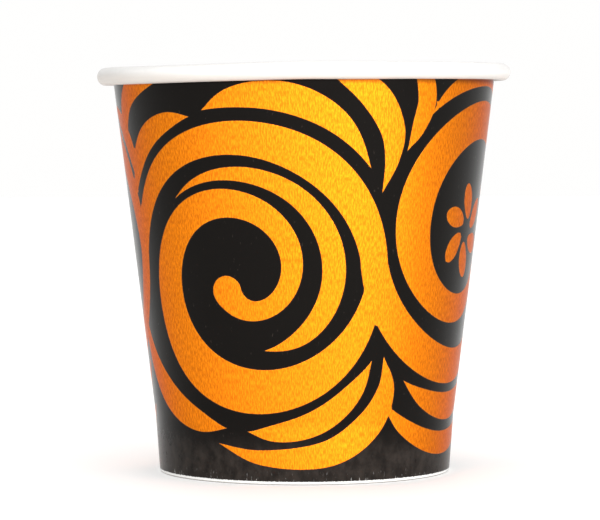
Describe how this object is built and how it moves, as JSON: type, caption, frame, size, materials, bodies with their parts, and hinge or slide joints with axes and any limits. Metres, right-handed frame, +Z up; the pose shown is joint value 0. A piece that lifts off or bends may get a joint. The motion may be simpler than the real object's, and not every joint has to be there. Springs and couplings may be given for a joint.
{
  "type": "paper cup",
  "caption": "Small tapered single-wall board cup with a rolled rim, a printed two-colour scroll wall, a lapped side seam and a base disc held in a folded foot.",
  "frame": {"origin": "centre of the foot ring, on the surface that the cup stands on", "axes": "+Z up along the cup's axis towards the open rim, -Y towards the viewer in the picture, side seam at +Y"},
  "size_m": [0.062, 0.062, 0.0611],
  "materials": {
    "printed_board": "satin",
    "white_board": "satin"
  },
  "bodies": {
    "root": {"side_wall": "printed_board", "base_disc": "white_board"}
  },
  "joints": []
}
